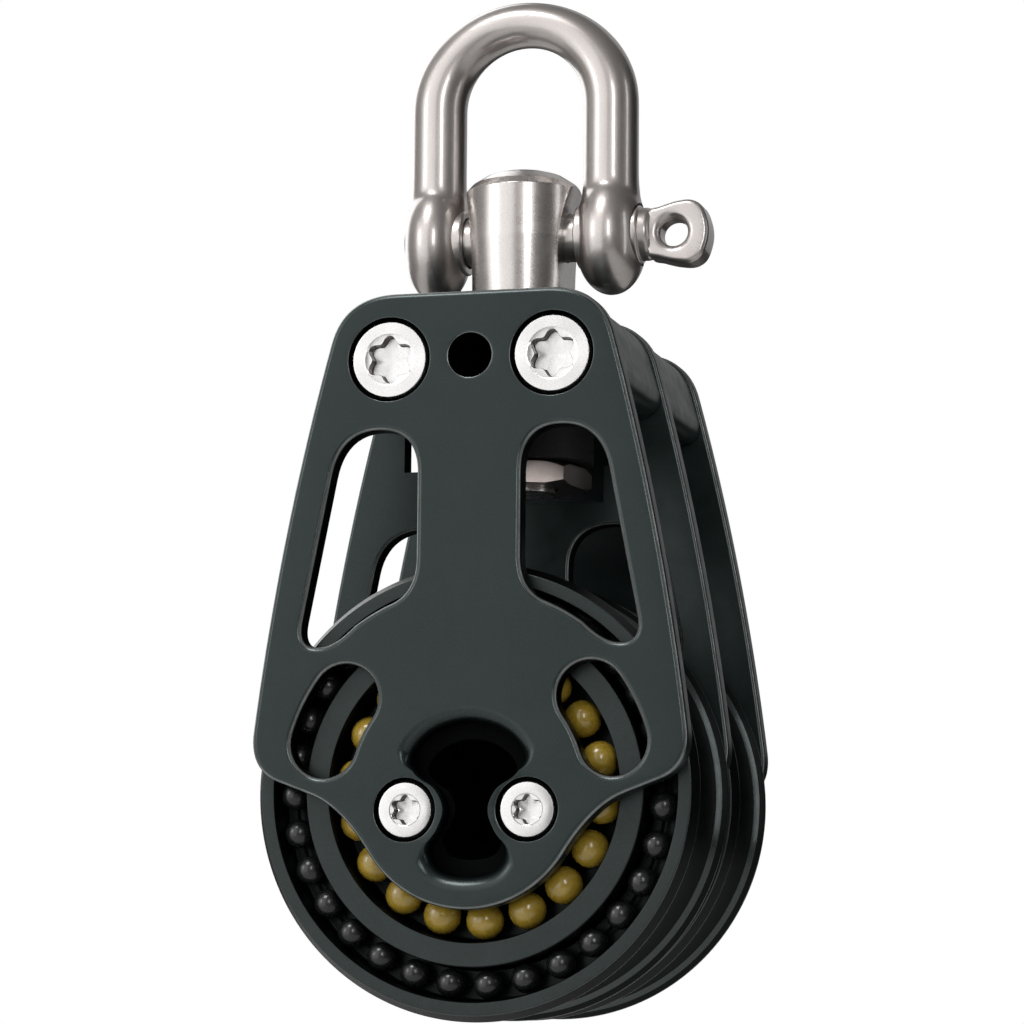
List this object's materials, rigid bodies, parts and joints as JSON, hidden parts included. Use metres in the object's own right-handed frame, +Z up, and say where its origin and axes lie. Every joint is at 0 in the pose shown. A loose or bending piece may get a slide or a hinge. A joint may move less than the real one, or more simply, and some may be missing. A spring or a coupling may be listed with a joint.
{
  "type": "swivel head sheave block",
  "caption": "Double-width ball-bearing sheave block for rope, with flat plates, a swivel post and a D shackle to hang or fasten it by.",
  "frame": {"origin": "inside of the shackle's crown, in the middle of the bar, where the load bears", "axes": "+Z up along the block towards the shackle, +Y along the sheave axles from the front cheek to the rear cheek, +X to the right seen from the front"},
  "size_m": [0.075, 0.0666, 0.1779],
  "materials": {
    "anodised_plate": "dark grey hard anodised, satin, fine grain",
    "anodised_sheave": "dark grey hard anodised, turned",
    "stainless": "polished stainless steel",
    "black_ball": "black satin plastic",
    "gold_ball": "glossy ochre engineering plastic",
    "washer_plastic": "dark grey bearing plastic"
  },
  "bodies": {
    "shackle": {"shackle_bow": "stainless", "shackle_pin": "stainless"},
    "post": {"swivel_post": "stainless", "post_nut": "stainless"},
    "plate_frame": {"front_cheek": "anodised_plate", "centre_plate": "anodised_plate", "rear_cheek": "anodised_plate", "head_block_front": "anodised_plate", "head_block_rear": "anodised_plate", "hub_front": "anodised_plate", "hub_rear": "anodised_plate", "head_screw_left": "stainless", "head_screw_right": "stainless", "head_nut_left": "stainless", "head_nut_right": "stainless", "hub_screw_left": "stainless", "hub_screw_right": "stainless", "hub_nut_left": "stainless", "hub_nut_right": "stainless", "thrust_washer_lower": "washer_plastic", "thrust_washer_upper": "washer_plastic"},
    "front_race_ring": {"race_ring_front": "anodised_sheave"},
    "front_sheave": {"sheave_front": "anodised_sheave"},
    "front_inner_balls": {"inner_balls_front_outboard": "gold_ball", "inner_balls_front_inboard": "gold_ball"},
    "front_outer_balls": {"outer_balls_front_outboard": "black_ball", "outer_balls_front_inboard": "black_ball"},
    "rear_race_ring": {"race_ring_rear": "anodised_sheave"},
    "rear_sheave": {"sheave_rear": "anodised_sheave"},
    "rear_inner_balls": {"inner_balls_rear_outboard": "gold_ball", "inner_balls_rear_inboard": "gold_ball"},
    "rear_outer_balls": {"outer_balls_rear_outboard": "black_ball", "outer_balls_rear_inboard": "black_ball"}
  },
  "joints": [
    {"name": "shackle_swing", "type": "hinge", "parent": "shackle", "child": "post", "pos_m": [0, 0, -0.0349], "axis": [1, 0, 0], "range_deg": [-95, 95]},
    {"name": "head_swivel", "type": "hinge", "parent": "post", "child": "plate_frame", "pos_m": [0, 0, -0.0503], "axis": [0, 0, 1], "continuous": true},
    {"name": "front_ring_spin", "type": "hinge", "parent": "plate_frame", "child": "front_race_ring", "pos_m": [0, -0.01565, -0.1326], "axis": [0, 1, 0], "continuous": true},
    {"name": "front_sheave_spin", "type": "hinge", "parent": "front_race_ring", "child": "front_sheave", "pos_m": [0, -0.01565, -0.1326], "axis": [0, 1, 0], "continuous": true},
    {"name": "front_inner_ball_roll", "type": "hinge", "parent": "plate_frame", "child": "front_inner_balls", "pos_m": [0, -0.01565, -0.1326], "axis": [0, 1, 0], "continuous": true},
    {"name": "front_outer_ball_roll", "type": "hinge", "parent": "front_race_ring", "child": "front_outer_balls", "pos_m": [0, -0.01565, -0.1326], "axis": [0, 1, 0], "continuous": true},
    {"name": "rear_ring_spin", "type": "hinge", "parent": "plate_frame", "child": "rear_race_ring", "pos_m": [0, 0.01565, -0.1326], "axis": [0, 1, 0], "continuous": true},
    {"name": "rear_sheave_spin", "type": "hinge", "parent": "rear_race_ring", "child": "rear_sheave", "pos_m": [0, 0.01565, -0.1326], "axis": [0, 1, 0], "continuous": true},
    {"name": "rear_inner_ball_roll", "type": "hinge", "parent": "plate_frame", "child": "rear_inner_balls", "pos_m": [0, 0.01565, -0.1326], "axis": [0, 1, 0], "continuous": true},
    {"name": "rear_outer_ball_roll", "type": "hinge", "parent": "rear_race_ring", "child": "rear_outer_balls", "pos_m": [0, 0.01565, -0.1326], "axis": [0, 1, 0], "continuous": true}
  ],
  "couplings": [
    {"joint": "front_inner_ball_roll", "follows": "front_ring_spin", "ratio": 0.5746},
    {"joint": "front_outer_ball_roll", "follows": "front_sheave_spin", "ratio": 0.5382},
    {"joint": "rear_inner_ball_roll", "follows": "rear_ring_spin", "ratio": 0.5746},
    {"joint": "rear_outer_ball_roll", "follows": "rear_sheave_spin", "ratio": 0.5382}
  ]
}
